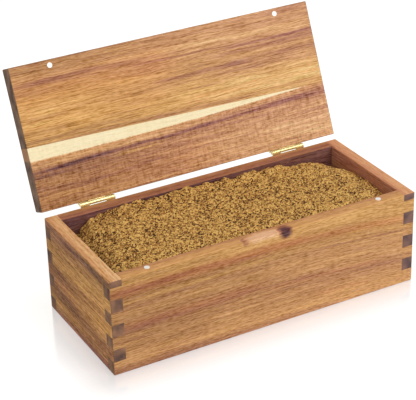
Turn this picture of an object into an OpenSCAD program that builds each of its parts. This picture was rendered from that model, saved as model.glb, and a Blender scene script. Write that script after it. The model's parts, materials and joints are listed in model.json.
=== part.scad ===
// Wooden box for ground spice, with a hinged lid that small magnets hold shut.
// The box stands on z = 0, with its length along x and its front towards -y.
// The origin is the centre of the underside. The lid is drawn leaning open
// against the stops of its two hinges.

/* [Box] */
// Length of the box, end to end
box_l = 250; // [170:1:400]
// Depth of the box, front to back
box_w = 107; // [80:1:200]
// Height of the box, underside to rim
box_h = 75; // [45:1:150]
// Thickness of the four wall boards
wall = 9.5; // [7:0.5:14]
// Width of the eased outer edges of the box
edge_ease = 0.6; // [0.2:0.1:1.5]
// Width of the eased inner edge of the rim
rim_ease = 0.4; // [0.2:0.1:1]

/* [Finger joints] */
// Height of the lowest finger at each corner
bottom_finger = 11; // [8:0.5:16]
// Height of each finger above it
finger_pitch = 9.8; // [6:0.2:16]
// Least height of the finger that is left over at the rim
least_top_finger = 3; // [2:0.5:5]
// Room for glue in every wooden joint
glue_gap = 0.05; // [0.01:0.01:0.2]

/* [Bottom panel] */
// Thickness of the bottom panel
panel_t = 6; // [4:0.5:9]
// How far the panel is let into each wall
rebate = 5; // [3:0.5:5.5]
// Room for the panel in its rebate
panel_gap = 0.2; // [0.1:0.05:0.5]

/* [Lid] */
// Thickness of the lid
lid_t = 13; // [11.5:0.5:18]
// How far the lid stands out past each end of the box
lid_overhang = 0.5; // [0:0.1:3]
// How far the lid's front edge stays behind the front of the box
lid_setback = 0.5; // [0:0.1:2]
// Gap between the rim and the closed lid
lid_gap = 1.05; // [0.8:0.05:1.6]
// Radius of the lid's long edges
lid_edge_r = 1; // [0.4:0.1:1.5]
// Radius of the lid's outer edge above the hinges
lid_rear_r = 2; // [0.5:0.1:2.5]
// Distance of the lid's glue line from the hinge edge, at the left end
seam_left = 47.5; // [30:0.1:55]
// Distance of the lid's glue line from the hinge edge, at the right end
seam_right = 41.8; // [30:0.1:55]
// How far the lid opens before the hinges stop it, in degrees
open_angle = 113.7; // [95:0.1:120]

/* [Hinges] */
// Length of each hinge
hinge_l = 28; // [22:0.5:40]
// Distance of each hinge's middle from the end of the box
hinge_in = 43.3; // [30:0.1:60]
// Diameter of the hinge barrel
barrel_d = 3.2; // [2.8:0.1:3.6]
// Gap between the barrel and the faces that the leaves lie on
barrel_gap = 0.2; // [0.1:0.05:0.5]
// Height of the hinge pin above the rim
pin_rise = 1.35; // [1.2:0.05:2]
// Diameter of the hinge pin
pin_d = 1.5; // [1:0.1:1.8]
// Running clearance round the pin in the lid's knuckle
pin_fit = 0.05; // [0.02:0.01:0.1]
// Clearance round the pin in the box's knuckles, which hold it
pin_hold = 0.01; // [0:0.01:0.03]
// Length of each of the two end knuckles
end_knuckle = 7; // [5:0.5:9]
// Gap between neighbouring knuckles
knuckle_gap = 0.15; // [0.1:0.05:0.4]
// Thickness of the hinge leaves
leaf_t = 0.8; // [0.6:0.1:1.1]
// Height of each leaf, from the pin to its free edge
leaf_h = 9.2; // [8:0.1:9.5]
// Radius of the leaf's corners
leaf_corner_r = 1; // [0.3:0.1:2]
// Length of the stops that the lid's leaf comes to rest on
stop_l = 4.5; // [3.5:0.1:6]
// Thickness of the stops
stop_t = 1; // [0.7:0.1:1.2]
// How far the stops stay in from the ends of their knuckles
stop_inset = 0.3; // [0.2:0.1:1]
// Gap that is left between a stop and the leaf on it
stop_gap = 0.03; // [0.01:0.01:0.05]

/* [Screws] */
// Diameter of a screw's head
head_d = 3.4; // [2.8:0.1:3.8]
// Diameter of a screw's shank
shank_d = 1.8; // [1.4:0.1:2.2]
// Length of a screw
screw_l = 7.2; // [5:0.1:7.5]
// Length of a screw's point
point_l = 2; // [1:0.1:2.5]
// Distance between the two screws of a leaf
screw_spread = 19; // [14:0.5:20]
// Distance of the screws from the pin
screw_drop = 5.6; // [4.8:0.1:6.2]
// Width of the cross in a screw's head
cross_w = 0.4; // [0.3:0.05:0.6]
// Span of the cross in a screw's head
cross_span = 1.9; // [1.5:0.1:2.2]
// Depth of the cross in a screw's head
cross_depth = 0.4; // [0.3:0.05:0.6]
// Room round a screw in its hole
screw_fit = 0.05; // [0.01:0.01:0.1]

/* [Magnets] */
// Diameter of the magnets
magnet_d = 4; // [3:0.5:5.5]
// Height of the magnets
magnet_h = 3; // [2:0.5:4]
// Distance of the left magnets' middles from the left end of the box
magnet_in_left = 31; // [20:0.5:60]
// Distance of the right magnets' middles from the right end of the box
magnet_in_right = 29.5; // [20:0.5:60]
// Gap between the magnets when the lid is closed
magnet_air = 0.15; // [0.1:0.05:0.3]
// Room round a magnet in its pocket
magnet_fit = 0.05; // [0.01:0.01:0.1]

/* [Hidden] */
$fn = 48;

// Room inside the four walls
inner_l = box_l - 2 * wall;
inner_w = box_w - 2 * wall;

// Heights at which one board's fingers give way to the other's
whole_fingers = floor((box_h - bottom_finger - least_top_finger) / finger_pitch);
levels = concat([0], [for (i = [0 : whole_fingers]) bottom_finger + i * finger_pitch], [box_h]);
last_finger = len(levels) - 2;

// The closed lid
lid_l = box_l + 2 * lid_overhang;
lid_w = box_w - lid_setback;
lid_z = box_h + lid_gap;
lid_rear = box_w / 2;
seam_slope = (seam_right - seam_left) / lid_l;

// The line that the lid turns about
barrel_r = barrel_d / 2;
pin_back = barrel_r + barrel_gap;
pin_y = box_w / 2 + pin_back;
pin_z = box_h + pin_rise;
hinge_x = box_l / 2 - hinge_in;
mid_knuckle = hinge_l - 2 * end_knuckle - 2 * knuckle_gap;

// Screws and magnets
head_h = (head_d - shank_d) / 2;
point_d = shank_d / 4;
magnet_y = wall / 2 - box_w / 2;
magnet_proud = (lid_gap - magnet_air) / 2;

// Place of the magnets along the box: side is -1 for the left pair, 1 for the right
function magnet_x(side) = side * (box_l / 2 - (side == -1 ? magnet_in_left : magnet_in_right));

// Cutting shapes run this far past the faces that they cut
past = 1;
far = 2 * (box_l + box_w + box_h);

// Rectangle centred on the origin, with its corners cut at 45 degrees
module eased_rectangle(a, b, ease) {
    polygon([
        [-a / 2 + ease, -b / 2], [a / 2 - ease, -b / 2],
        [a / 2, -b / 2 + ease], [a / 2, b / 2 - ease],
        [a / 2 - ease, b / 2], [-a / 2 + ease, b / 2],
        [-a / 2, b / 2 - ease], [-a / 2, -b / 2 + ease]
    ]);
}

// The outside of the whole box, with every edge eased
module box_outside() {
    intersection() {
        linear_extrude(box_h) eased_rectangle(box_l, box_w, edge_ease);
        translate([0, box_w / 2, box_h / 2])
            rotate([90, 0, 0])
                linear_extrude(box_w) eased_rectangle(box_l, box_h, edge_ease);
        translate([-box_l / 2, 0, box_h / 2])
            rotate([90, 0, 90])
                linear_extrude(box_l) eased_rectangle(box_w, box_h, edge_ease);
    }
}

// A prism along y that widens upwards at 45 degrees from a given half width
module widening_prism(half, length) {
    grow = rim_ease + past;
    translate([0, length / 2, 0])
        rotate([90, 0, 0])
            linear_extrude(length)
                polygon([
                    [-half, box_h - rim_ease], [half, box_h - rim_ease],
                    [half + grow, box_h + past], [-half - grow, box_h + past]
                ]);
}

// What easing the rim's inner edge takes away, all round the opening
module rim_easing() {
    intersection() {
        widening_prism(inner_l / 2, box_w);
        rotate([0, 0, 90]) widening_prism(inner_w / 2, box_l);
    }
}

// The space that the bottom panel is let into, flush with the underside
module panel_space() {
    length = inner_l + 2 * rebate;
    depth = inner_w + 2 * rebate;
    translate([-length / 2, -depth / 2, -past])
        cube([length, depth, panel_t + panel_gap + past]);
}

// Notches at both ends of a board that lies along x, at every second level
module finger_notches(first, half) {
    for (k = [first : 2 : last_finger], turn = [0, 180]) {
        low = k == 0 ? -past : levels[k] - glue_gap / 2;
        high = k == last_finger ? box_h + past : levels[k + 1] + glue_gap / 2;
        rotate([0, 0, turn])
            translate([half - glue_gap, -far / 2, low])
                cube([far, far, high - low]);
    }
}

// Front or back board: side is -1 for the front, 1 for the back
module long_board(side) {
    difference() {
        intersection() {
            box_outside();
            translate([-far / 2, side * (box_w - wall) / 2 - wall / 2, -past])
                cube([far, wall, box_h + 2 * past]);
        }
        finger_notches(1, inner_l / 2);
        panel_space();
        rim_easing();
    }
}

// Left or right board: side is -1 for the left, 1 for the right
module end_board(side) {
    difference() {
        intersection() {
            box_outside();
            translate([side * (box_l - wall) / 2 - wall / 2, -far / 2, -past])
                cube([wall, far, box_h + 2 * past]);
        }
        rotate([0, 0, 90]) finger_notches(0, inner_w / 2);
        panel_space();
        rim_easing();
    }
}

module front_board() {
    color("#b07a45")
        difference() {
            long_board(-1);
            for (side = [-1, 1]) rim_magnet_pocket(side);
        }
}

module back_board() {
    color("#a87242")
        difference() {
            long_board(1);
            for (side = [-1, 1]) hinge_place(side) mirror([0, 0, 1]) leaf_screws(screw_fit);
        }
}

module left_board() {
    color("#9c7446") end_board(-1);
}

module right_board() {
    color("#9c6c42") end_board(1);
}

module bottom_panel() {
    length = inner_l + 2 * rebate - 2 * panel_gap;
    depth = inner_w + 2 * rebate - 2 * panel_gap;
    color("#8f6239")
        translate([-length / 2, -depth / 2, 0])
            cube([length, depth, panel_t]);
}

// Section of the closed lid across its length, rounded at its four corners
module lid_section() {
    y0 = lid_rear - lid_w;
    z1 = lid_z + lid_t;
    r = lid_edge_r;
    rear_r = lid_rear_r;
    translate([y0, lid_z + r]) square([lid_w, lid_t - r - rear_r]);
    translate([y0 + r, lid_z]) square([lid_w - 2 * r, lid_t]);
    translate([y0 + r, z1 - rear_r]) square([lid_w - r - rear_r, rear_r]);
    translate([y0, z1 - rear_r - r]) square([lid_w / 2, rear_r]);
    translate([y0 + r, lid_z + r]) circle(r);
    translate([y0 + r, z1 - r]) circle(r);
    translate([lid_rear - r, lid_z + r]) circle(r);
    translate([lid_rear - rear_r, z1 - rear_r]) circle(rear_r);
}

// The closed lid in one piece, with its ends eased
module lid_outside() {
    middle = lid_rear - lid_w / 2;
    intersection() {
        translate([-lid_l / 2, 0, 0])
            rotate([90, 0, 90])
                linear_extrude(lid_l) lid_section();
        translate([0, middle, lid_z - past])
            linear_extrude(lid_t + 2 * past) eased_rectangle(lid_l, lid_w, edge_ease);
        translate([0, lid_rear + past, lid_z + lid_t / 2])
            rotate([90, 0, 0])
                linear_extrude(lid_w + 2 * past) eased_rectangle(lid_l, lid_t, edge_ease);
    }
}

// Everything on one side of the lid's glue line: side is -1 in front, 1 behind
module beside_seam(side) {
    shift = side == -1 ? glue_gap : 0;
    seam_y = lid_rear - (seam_left + seam_right) / 2 - shift;
    rise = seam_slope * far / 2;
    translate([0, 0, lid_z - past])
        linear_extrude(lid_t + 2 * past)
            polygon([
                [-far / 2, seam_y + rise], [far / 2, seam_y - rise],
                [far / 2, seam_y + side * far], [-far / 2, seam_y + side * far]
            ]);
}

// Swings a piece from its place on the closed lid to its place on the open one
module opened() {
    translate([0, pin_y, pin_z])
        rotate([-open_angle, 0, 0])
            translate([0, -pin_y, -pin_z])
                children();
}

module lid_front_board() {
    color("#b98352")
        opened()
            difference() {
                intersection() {
                    lid_outside();
                    beside_seam(-1);
                }
                for (side = [-1, 1]) lid_magnet_pocket(side);
            }
}

module lid_rear_board() {
    color("#a8764a")
        opened()
            difference() {
                intersection() {
                    lid_outside();
                    beside_seam(1);
                }
                for (side = [-1, 1]) hinge_place(side) leaf_screws(screw_fit);
            }
}

// Moves a hinge's own frame, with the pin along x at its origin, to its place
module hinge_place(side) {
    translate([side * hinge_x, pin_y, pin_z]) children();
}

// A round bar along x, centred on the pin
module bar(from_x, length, r) {
    translate([from_x, 0, 0]) rotate([0, 90, 0]) cylinder(h = length, r = r);
}

// Outline of a leaf, standing up from the pin
module leaf_outline() {
    r = leaf_corner_r;
    translate([-hinge_l / 2, 0]) square([hinge_l, leaf_h - r]);
    translate([-hinge_l / 2 + r, 0]) square([hinge_l - 2 * r, leaf_h]);
    for (end = [-1, 1]) translate([end * (hinge_l / 2 - r), leaf_h - r]) circle(r);
}

// Flat part of a leaf, with its back on the face that the hinge is screwed to
module leaf_plate() {
    translate([0, leaf_t - pin_back, 0])
        rotate([90, 0, 0])
            linear_extrude(leaf_t) leaf_outline();
}

// Turned shape of a screw along z, its head's top at zero; extra grows it for a hole
module screw_shape(extra) {
    shank_l = screw_l - head_h - point_l;
    cylinder(h = head_h, r1 = head_d / 2 + extra, r2 = shank_d / 2 + extra);
    translate([0, 0, head_h])
        cylinder(h = shank_l, r = shank_d / 2 + extra);
    translate([0, 0, head_h + shank_l])
        cylinder(h = point_l + extra, r1 = shank_d / 2 + extra, r2 = point_d / 2 + extra);
    if (extra > 0)
        translate([0, 0, -past]) cylinder(h = past, r = head_d / 2 + extra);
}

// The two screws of a leaf that stands up from the pin, or their holes
module leaf_screws(extra) {
    for (end = [-1, 1])
        translate([end * screw_spread / 2, leaf_t - pin_back, screw_drop])
            rotate([90, 0, 0]) screw_shape(extra);
}

// The crosses that a driver fits into, in the heads of the same two screws
module head_crosses() {
    for (end = [-1, 1], turn = [0, 90])
        translate([end * screw_spread / 2, leaf_t - pin_back, screw_drop])
            rotate([90, turn, 0])
                translate([-cross_span / 2, -cross_w / 2, -past])
                    cube([cross_span, cross_w, cross_depth + past]);
}

// A pair of screws in a leaf that stands up from the pin
module screw_pair() {
    difference() {
        leaf_screws(0);
        head_crosses();
    }
}

// Leaf on the back of the box: two end knuckles that hold the pin, and two stops
module box_leaf() {
    stop_face = pin_back - leaf_t - stop_gap;
    stop_root = (barrel_r + pin_d / 2) / 2;
    between = hinge_l - 2 * end_knuckle;
    below = barrel_r + knuckle_gap;
    difference() {
        union() {
            mirror([0, 0, 1]) leaf_plate();
            for (end = [-1, 1]) {
                start = end == -1 ? -hinge_l / 2 : hinge_l / 2 - end_knuckle;
                bar(start, end_knuckle, barrel_r);
                rotate([-open_angle, 0, 0])
                    translate([start + stop_inset, -stop_face, stop_root])
                        cube([end_knuckle - 2 * stop_inset, stop_t, stop_l - stop_root]);
            }
        }
        translate([-between / 2, -far / 2, -below]) cube([between, far, far]);
        bar(-hinge_l / 2 - past, hinge_l + 2 * past, pin_d / 2 + pin_hold);
        mirror([0, 0, 1]) leaf_screws(screw_fit);
    }
}

// Leaf on the lid's rear edge, as it stands when the lid is closed
module lid_leaf() {
    above = barrel_r + knuckle_gap;
    difference() {
        union() {
            leaf_plate();
            bar(-mid_knuckle / 2, mid_knuckle, barrel_r);
        }
        for (turn = [0, 180])
            rotate([0, 0, turn])
                translate([mid_knuckle / 2, -far / 2, -far])
                    cube([far, far, far + above]);
        bar(-hinge_l / 2 - past, hinge_l + 2 * past, pin_d / 2 + pin_fit);
        leaf_screws(screw_fit);
    }
}

module hinge_box_leaf(side) {
    color("#e3cf86") hinge_place(side) box_leaf();
}

module hinge_lid_leaf(side) {
    color("#e3cf86") opened() hinge_place(side) lid_leaf();
}

module hinge_pin(side) {
    color("#d8c27a") hinge_place(side) bar(-hinge_l / 2, hinge_l, pin_d / 2);
}

module hinge_box_screws(side) {
    color("#cbb46a") hinge_place(side) mirror([0, 0, 1]) screw_pair();
}

module hinge_lid_screws(side) {
    color("#cbb46a") opened() hinge_place(side) screw_pair();
}

module rim_magnet_pocket(side) {
    floor_z = box_h + magnet_proud - magnet_h - magnet_fit;
    translate([magnet_x(side), magnet_y, floor_z])
        cylinder(h = magnet_h + past, d = magnet_d + 2 * magnet_fit);
}

module lid_magnet_pocket(side) {
    translate([magnet_x(side), magnet_y, lid_z - past])
        cylinder(h = magnet_h - magnet_proud + magnet_fit + past, d = magnet_d + 2 * magnet_fit);
}

module rim_magnet(side) {
    color("#e6e4de")
        translate([magnet_x(side), magnet_y, box_h + magnet_proud - magnet_h])
            cylinder(h = magnet_h, d = magnet_d);
}

module lid_magnet(side) {
    color("#e6e4de")
        opened()
            translate([magnet_x(side), magnet_y, lid_z - magnet_proud])
                cylinder(h = magnet_h, d = magnet_d);
}

front_board();
back_board();
left_board();
right_board();
bottom_panel();
lid_front_board();
lid_rear_board();
hinge_box_leaf(-1);  // left_hinge_box_leaf
hinge_lid_leaf(-1);  // left_hinge_lid_leaf
hinge_pin(-1);  // left_hinge_pin
hinge_box_screws(-1);  // left_hinge_box_screws
hinge_lid_screws(-1);  // left_hinge_lid_screws
hinge_box_leaf(1);  // right_hinge_box_leaf
hinge_lid_leaf(1);  // right_hinge_lid_leaf
hinge_pin(1);  // right_hinge_pin
hinge_box_screws(1);  // right_hinge_box_screws
hinge_lid_screws(1);  // right_hinge_lid_screws
rim_magnet(-1);  // left_rim_magnet
rim_magnet(1);  // right_rim_magnet
lid_magnet(-1);  // left_lid_magnet
lid_magnet(1);  // right_lid_magnet
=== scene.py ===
import json
import math
from collections import namedtuple

import bpy
import numpy as np
from mathutils import Matrix, Vector


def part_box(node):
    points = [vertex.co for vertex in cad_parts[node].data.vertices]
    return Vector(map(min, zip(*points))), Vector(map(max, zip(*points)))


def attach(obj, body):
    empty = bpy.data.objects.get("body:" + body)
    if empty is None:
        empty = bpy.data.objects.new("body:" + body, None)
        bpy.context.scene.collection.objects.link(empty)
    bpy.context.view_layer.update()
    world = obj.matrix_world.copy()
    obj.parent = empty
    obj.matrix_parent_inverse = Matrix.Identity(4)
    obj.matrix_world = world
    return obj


bl_info = {
    "name": "Wooden spice box looks",
    "version": (1, 0, 0),
    "blender": (4, 5, 0),
    "location": "3D View > Sidebar > Spice Box",
    "description": "Acacia boards, brass hinges, magnets and ground spice for the hinged spice box",
    "category": "Object",
}

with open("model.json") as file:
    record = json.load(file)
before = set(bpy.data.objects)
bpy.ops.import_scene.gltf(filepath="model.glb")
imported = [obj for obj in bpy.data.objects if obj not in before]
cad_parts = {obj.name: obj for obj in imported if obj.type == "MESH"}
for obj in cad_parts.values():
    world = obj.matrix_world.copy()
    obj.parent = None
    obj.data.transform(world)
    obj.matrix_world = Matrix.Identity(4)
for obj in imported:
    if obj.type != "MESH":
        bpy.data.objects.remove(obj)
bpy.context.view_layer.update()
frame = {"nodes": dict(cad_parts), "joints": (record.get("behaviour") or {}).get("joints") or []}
NODES = frame["nodes"]
MM = 0.001

# The box's own measures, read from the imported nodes, in millimetres.
BOX_LOW, BOX_HIGH = (np.array(c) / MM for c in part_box("front_board"))
HALF_LENGTH = float(BOX_HIGH[0])
HALF_WIDTH = float(-BOX_LOW[1])
HEIGHT = float(BOX_HIGH[2])
WALL = float(BOX_HIGH[1] - BOX_LOW[1])
PANEL_TOP = float(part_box("bottom_panel")[1][2] / MM)
HINGE = frame["joints"][0]
PIN = np.array(HINGE["pos_m"]) / MM
OPEN_ANGLE = math.radians(max(abs(a) for a in HINGE["range_deg"]))
# The closed lid lies this far above the walls.
LID_GAP = 1.05


def srgb(text):
    """A colour written as six hex digits, in the linear values that Blender's sockets take."""
    values = [int(text[i:i + 2], 16) / 255 for i in (0, 2, 4)]
    linear = [c / 12.92 if c <= 0.04045 else ((c + 0.055) / 1.055) ** 2.4 for c in values]
    return (*linear, 1.0)


WHITE = srgb("ffffff")


def operation(name, swapped=False):
    """A method that joins a value with another, or with a number, through one Math node."""
    def method(self, other):
        first, second = (other, self) if swapped else (self, other)
        return self.paint.node("ShaderNodeMath", {"operation": name}, {0: first, 1: second})
    return method


class Value:
    """A socket of a material on which sums are written as Python expressions."""

    def __init__(self, paint, socket):
        self.paint, self.socket = paint, socket

    __add__, __mul__, __truediv__ = operation("ADD"), operation("MULTIPLY"), operation("DIVIDE")
    __sub__, __rsub__ = operation("SUBTRACT"), operation("SUBTRACT", True)
    __pow__, high = operation("POWER"), operation("MAXIMUM")

    @property
    def outputs(self):
        """All outputs of the node that this value comes from."""
        return self.socket.node.outputs

    def __abs__(self):
        return self.paint.node("ShaderNodeMath", {"operation": "ABSOLUTE"}, {0: self})

    def rise(self, start, end):
        """0 before start and 1 after end, with a smooth step between. It falls if the end is
        the lower of the two."""
        return self.paint.node("ShaderNodeMapRange", {"interpolation_type": "SMOOTHSTEP"},
                               {0: self, 1: start, 2: end, 3: 0.0, 4: 1.0})

    def hump(self, centre, half):
        """1 at the centre, and a smooth fall to 0 at half a width on each side."""
        return abs(self - centre).rise(half, 0.0)


class Paint:
    """One material, or the world's surroundings, under construction."""

    def __init__(self, name, among=None):
        self.material = (bpy.data.materials if among is None else among).new(name)
        self.material.use_nodes = True
        self.tree = self.material.node_tree
        self.tree.nodes.clear()
        if among is None:
            self.place = self.node("ShaderNodeTexCoord", output="Object")

    def node(self, kind, settings=None, inputs=None, output=0):
        """Adds a node: its settings first, then the numbers, colours or links of its sockets."""
        made = self.tree.nodes.new(kind)
        for key, value in (settings or {}).items():
            if key == "stops":
                band = made.color_ramp.elements
                while len(band) < len(value):
                    band.new(0.5)
                for element, (at, colour) in zip(band, value):
                    element.position, element.color = at, colour
            else:
                setattr(made, key, value)
        for key, value in (inputs or {}).items():
            if isinstance(value, Value):
                self.tree.links.new(value.socket, made.inputs[key])
            else:
                made.inputs[key].default_value = value
        return Value(self, made.outputs[output]) if made.outputs else None

    def along(self, direction, origin=(0.0, 0.0, 0.0)):
        """Millimetres along a direction from an origin in millimetres."""
        from_origin = self.node("ShaderNodeVectorMath", {"operation": "SUBTRACT"},
                                {0: self.place, 1: Vector(origin) * MM})
        return self.node("ShaderNodeVectorMath", {"operation": "DOT_PRODUCT"},
                         {0: from_origin, 1: Vector(direction) / MM}, "Value")

    def vector(self, x, y, z):
        """One place in space from three values."""
        return self.node("ShaderNodeCombineXYZ", None, {0: x, 1: y, 2: z})

    def in_cells(self, size):
        """The place counted in cells of this many millimetres."""
        return self.node("ShaderNodeVectorMath", {"operation": "SCALE"},
                         {0: self.place, "Scale": 1 / (size * MM)})

    def noise(self, vector, detail=2.0):
        """Cloud noise about zero, from about -0.5 to 0.5, one cell a unit of the vector."""
        return self.node("ShaderNodeTexNoise", {"noise_dimensions": "3D"},
                         {"Vector": vector, "Scale": 1.0, "Detail": detail}) - 0.5

    def ramp(self, value, stops):
        """The colour at a value between 0 and 1, from stops of a position and a colour each."""
        return self.node("ShaderNodeValToRGB", {"stops": stops}, {0: value})

    def mix(self, amount, first, second):
        """The first colour at amount 0 and the second at amount 1."""
        return self.node("ShaderNodeMix", {"data_type": "RGBA"},
                         {0: amount, 6: first, 7: second}, 2)

    def channels(self, colour):
        """Red, green and blue of a colour."""
        split = self.node("ShaderNodeSeparateColor", None, {0: colour})
        return [Value(self, socket) for socket in split.outputs]

    def looked_at(self):
        """1 where the camera looks, straight, mirrored or through glass, and 0 where light only
        falls on things."""
        rays = self.node("ShaderNodeLightPath").outputs
        camera, mirrored, through = (Value(self, rays[name]) for name in (
            "Is Camera Ray", "Is Glossy Ray", "Is Transmission Ray"))
        return camera.high(mirrored).high(through)

    def finish(self, shader, kind="ShaderNodeOutputMaterial"):
        """Makes a shader the whole look, and hands out the material or world."""
        self.node(kind, None, {"Surface": shader})
        return self.material

    def surface(self, colour, roughness, normal=None, metallic=0.0, constants=None):
        """A Principled surface: what varies comes as links, what doesn't as plain numbers."""
        inputs = {"Base Color": colour, "Roughness": roughness, "Metallic": metallic}
        inputs.update(constants or {})
        if normal is not None:
            inputs["Normal"] = normal
        return self.finish(self.node("ShaderNodeBsdfPrincipled", None, inputs))

    def bump(self, height, strength, distance):
        """A surface that seems to rise and fall with a value, by a distance in millimetres."""
        return self.node("ShaderNodeBump", None,
                         {"Strength": strength, "Distance": distance * MM, "Height": height})


def number_property(name, description, default, low, high, **kind):
    """A number that can be changed in the panel, between two limits."""
    return bpy.props.FloatProperty(name=name, description=description, default=default,
                                   min=low, max=high, **kind)


def colour_property(name, description, text):
    """A colour that can be changed in the panel, from its six hex digits."""
    return bpy.props.FloatVectorProperty(name=name, description=description, subtype="COLOR",
                                         size=4, min=0.0, max=1.0, default=srgb(text))


class WoodLook(bpy.types.PropertyGroup):
    """Colours and figure of the acacia."""
    grain_scale: number_property(
        "Grain scale", "Size of the fibres against real acacia", 1.0, 0.2, 5.0)
    contrast: number_property(
        "Fibre contrast", "How far fibres lighten and darken the wood", 1.0, 0.0, 3.0)
    roughness: number_property(
        "Roughness", "Roughness of the oiled surface", 0.52, 0.0, 1.0, subtype="FACTOR")
    end_grain: colour_property(
        "End grain", "Colour that the cut ends of the fibres turn to", "5c4741")
    end_tint_amount: number_property(
        "End grain share", "How far the cut ends take that colour", 0.0, 0.0, 1.0,
        subtype="FACTOR")


class MetalLook(bpy.types.PropertyGroup):
    """Brass of the hinges and plating of the magnets."""
    brass: colour_property("Brass", "Colour of the hinges and screws", "ecdda6")
    brass_roughness: number_property(
        "Brass roughness", "Roughness of the rolled brass", 0.24, 0.0, 1.0, subtype="FACTOR")
    plating: colour_property("Plating", "Colour of the magnets' nickel plating", "fbfaf6")


class SpiceLook(bpy.types.PropertyGroup):
    """Shape and colours of the ground spice."""
    gap: number_property(
        "Gap at the walls", "Space between the spice and the boards", 0.1 * MM, 0.0, 0.002,
        unit="LENGTH")
    step: number_property(
        "Mesh step", "Distance between the points of its surface", 0.52 * MM, 0.0004, 0.005,
        unit="LENGTH")
    brim: number_property(
        "Highest point", "Height that no grain passes, so that the lid closes", 75.9 * MM, 0.01,
        0.0759, unit="LENGTH")
    grain: number_property(
        "Grain size", "Distance between the grains", 1.75 * MM, 0.0005, 0.01, unit="LENGTH")
    # The colour between the grains is painted shade in the pits; the pale end is both pale grains
    # and painted light on the highest ones.
    pit_shade: colour_property("Pits", "Colour between the grains", "26130a")
    body: colour_property("Grains", "Main colour of the ground spice", "ac7633")
    speck_and_highlight: colour_property("Specks", "Palest grains", "e9bd6c")


class StageLook(bpy.types.PropertyGroup):
    """Floor, lamps and camera."""
    sky: number_property(
        "Sky strength", "Light of the white surroundings on the object", 0.53, 0.0, 2.0)
    key_power: number_property(
        "Key lamp", "Power of the large soft lamp", 10.4, 0.0, 200.0, unit="POWER")
    fill_power: number_property(
        "Fill lamp", "Power of the soft lamp on the left", 2.2, 0.0, 200.0, unit="POWER")
    floor_size: number_property(
        "Floor size", "Side of the square floor", 6.0, 1.0, 50.0, unit="LENGTH")
    lens: number_property(
        "Lens", "Focal length of the camera on a 36 mm sensor, in millimetres", 136.25, 10.0,
        500.0)


# Acacia. A board's figure is given in millimetres. Tone runs from 0, the darkest, to 1, and red
# from about 0, golden, to 1, reddish.

# One line of the figure, at a distance across the board, with its tone at both ends.
Band = namedtuple("Band", "across tone red far_tone far_red")
# A slanting line from start to end, half as wide as `half`, and what it adds to tone and red.
Streak = namedtuple("Streak", "across slope half start end tone red")
# A soft area along the board that is warmer than the rest.
Glow = namedtuple("Glow", "across half start end warm")
# A knot or patch: its middle, its reach in each direction, and its own tone and red.
Spot = namedtuple("Spot", "u v w along across deep tone red")
# Sapwood beyond a distance across, whose edge bends away after a start.
Sapwood = namedtuple("Sapwood", "across start bend")
# The rim of a wall, which turns from its outer to its inner look between two depths.
Rim = namedtuple("Rim", "outer_tone outer_red inner_tone inner_red start end warm")
# Strength of each kind of grain, from the widest to the ripples across it.
Grain = namedtuple("Grain", "slow long line fleck ripple")
# The tone and redness that a board gives a wall's inner face are painted shade.
Board = namedtuple("Board", "axes bands blend bow streaks half ends grain seed "
                            "glows spots rim inside sap", defaults=((), (), None, None, None))

GOLD_TONES = [(0.0, "402d23"), (0.11, "584330"), (0.27, "7d5a2e"), (0.43, "9a713b"),
              (0.59, "b48949"), (0.75, "ce9e59"), (0.83, "dbaa62"), (0.91, "e2b76f"),
              (1.0, "e7c783")]
RED_TONES = [(0.0, "402a2c"), (0.11, "533539"), (0.27, "784f53"), (0.43, "97635b"),
             (0.59, "b37b67"), (0.75, "cd9675"), (0.83, "d8a37e"), (0.91, "e1af89"),
             (1.0, "eabc94")]
REDDEST, GOLDEST = 1.2, -0.5
SAPWOOD, SAPWOOD_DARK, SAP_SEAM, SAP_END = "fff4cf", "f8dfac", "d99a66", "d9a070"
# What warmth adds to red, green and blue.
WARM_SHIFT = (0.032, -0.024, -0.008)
# Share of a streak's or glow's length that fades at each end, and how much of the outer figure
# shows through the painted shade on the inner face of a wall.
END_FADE = 0.2
INSIDE_FIGURE = 0.35
# Depths under a face, in millimetres, between which its look gives way to that of the rest.
RIM_DEPTHS, INSIDE_DEPTHS, END_DEPTHS = (0.9, 0.2), (0.5, 0.1), (0.5, 0.15)
WOOD_SHEEN = 0.05


def stored(text):
    """A colour of six hex digits as evenly graded values, which the power 2.4 turns into light.
    Grain added to these lightens and darkens a pale and a dark wood alike."""
    return (*((int(text[i:i + 2], 16) / 255 + 0.055) / 1.055 for i in (0, 2, 4)), 1.0)


def at_face(value, face, depths):
    """1 at a face and 0 well under it."""
    low, high = depths
    return value.rise(face - low, face - high)


def band_stops(bands, tone, red):
    """Bands as the stops of a ramp from the first to the last: red holds the tone and green
    the redness, which is moved up so that it is never below zero."""
    low, high = bands[0].across, bands[-1].across
    return [((band.across - low) / (high - low),
             (getattr(band, tone), getattr(band, red) - GOLDEST, 0.0, 1.0)) for band in bands]


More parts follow.
